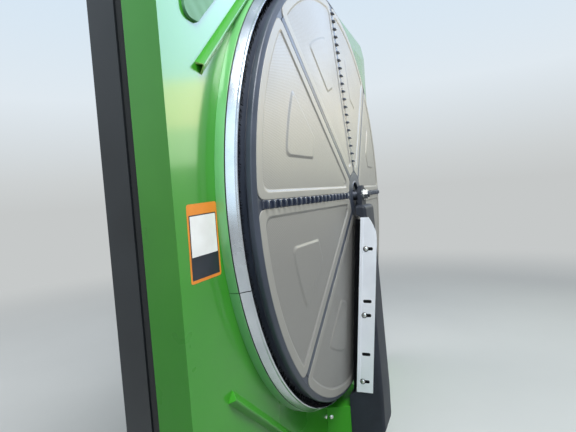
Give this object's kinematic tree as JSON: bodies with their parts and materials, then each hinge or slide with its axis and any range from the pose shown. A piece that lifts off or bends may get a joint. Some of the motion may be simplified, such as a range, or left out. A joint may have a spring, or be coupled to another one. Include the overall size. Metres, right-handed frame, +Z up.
{
  "type": "rotary air screen door",
  "caption": "Hinged door with a round opening in which a shallow conical perforated screen turns, driven by a belt behind the panel; a fixed suction duct in front clears it of chaff.",
  "frame": {"origin": "on the screen's axis, in the rear face of the mounting frame", "axes": "+Y into the machine along the screen's axis, +X to the right seen from outside, +Z up"},
  "size_m": [1.67, 0.3432, 1.642],
  "materials": {
    "green_paint": "gloss",
    "dark_paint": "satin",
    "black_rubber": "matt",
    "bristle": "matt bristles",
    "bright_steel": "polished",
    "perforated_steel": "satin",
    "moulded_grey": "satin",
    "ridge_plastic": "satin",
    "duct_plastic": "satin",
    "wear_plate_white": "satin",
    "plain_steel": "machined",
    "zinc_steel": "zinc plated",
    "cast_housing": "painted",
    "pulley_steel": "satin"
  },
  "bodies": {
    "frame": {"mounting_frame": "dark_paint", "frame_seal": "black_rubber", "hinge_lugs": "dark_paint", "hinge_pins": "plain_steel", "latch_striker": "plain_steel"},
    "door": {"door_panel": "green_paint", "opening_collar": "green_paint", "seal_band": "bright_steel", "brush_ring": "bristle", "corner_rib_lower_left": "green_paint", "corner_rib_lower_right": "green_paint", "corner_rib_upper_left": "green_paint", "corner_rib_upper_right": "green_paint", "corner_vent": "green_paint", "suction_duct": "duct_plastic", "duct_saddle": "green_paint", "outlet_spigot": "dark_paint", "wear_plate_left": "wear_plate_white", "wear_plate_right": "wear_plate_white", "brush_strip_left": "bristle", "brush_strip_right": "bristle", "cross_member": "dark_paint", "axle": "plain_steel", "axle_nut": "zinc_steel", "door_knuckles": "green_paint", "door_latch": "zinc_steel", "drive_belt": "black_rubber", "drive_plate": "dark_paint", "drive_bearing": "cast_housing", "idler_pins": "plain_steel"},
    "screen": {"rotor_frame": "moulded_grey", "hub_housing": "cast_housing", "screen_segment_1": "perforated_steel", "screen_segment_2": "perforated_steel", "screen_segment_3": "perforated_steel", "screen_segment_4": "perforated_steel", "screen_segment_5": "perforated_steel", "screen_segment_6": "perforated_steel", "screen_segment_7": "perforated_steel", "screen_segment_8": "perforated_steel", "spoke_ridge_1": "ridge_plastic", "spoke_ridge_2": "ridge_plastic", "spoke_ridge_3": "ridge_plastic", "spoke_ridge_4": "ridge_plastic"},
    "drive_wheel": {"drive_pulley": "pulley_steel"},
    "guide_wheel": {"guide_pulley": "pulley_steel"},
    "tension_wheel": {"tension_pulley": "pulley_steel"}
  },
  "joints": [
    {"name": "door_swing", "type": "hinge", "parent": "frame", "child": "door", "pos_m": [0.862, -0.121, 0], "axis": [0, 0, 1], "range_deg": [0, 100]},
    {"name": "screen_spin", "type": "hinge", "parent": "door", "child": "screen", "pos_m": [0, -0.22, 0], "axis": [0, 1, 0], "continuous": true},
    {"name": "drive_spin", "type": "hinge", "parent": "door", "child": "drive_wheel", "pos_m": [0.64, -0.14, 0.59], "axis": [0, 1, 0], "continuous": true},
    {"name": "guide_spin", "type": "hinge", "parent": "door", "child": "guide_wheel", "pos_m": [0.64, -0.14, 0.3], "axis": [0, 1, 0], "continuous": true},
    {"name": "tension_spin", "type": "hinge", "parent": "door", "child": "tension_wheel", "pos_m": [0.725, -0.14, 0.17], "axis": [0, 1, 0], "continuous": true}
  ],
  "couplings": [
    {"joint": "drive_spin", "follows": "screen_spin", "ratio": 10.947},
    {"joint": "guide_spin", "follows": "screen_spin", "ratio": -13.88},
    {"joint": "tension_spin", "follows": "screen_spin", "ratio": 12.742}
  ]
}
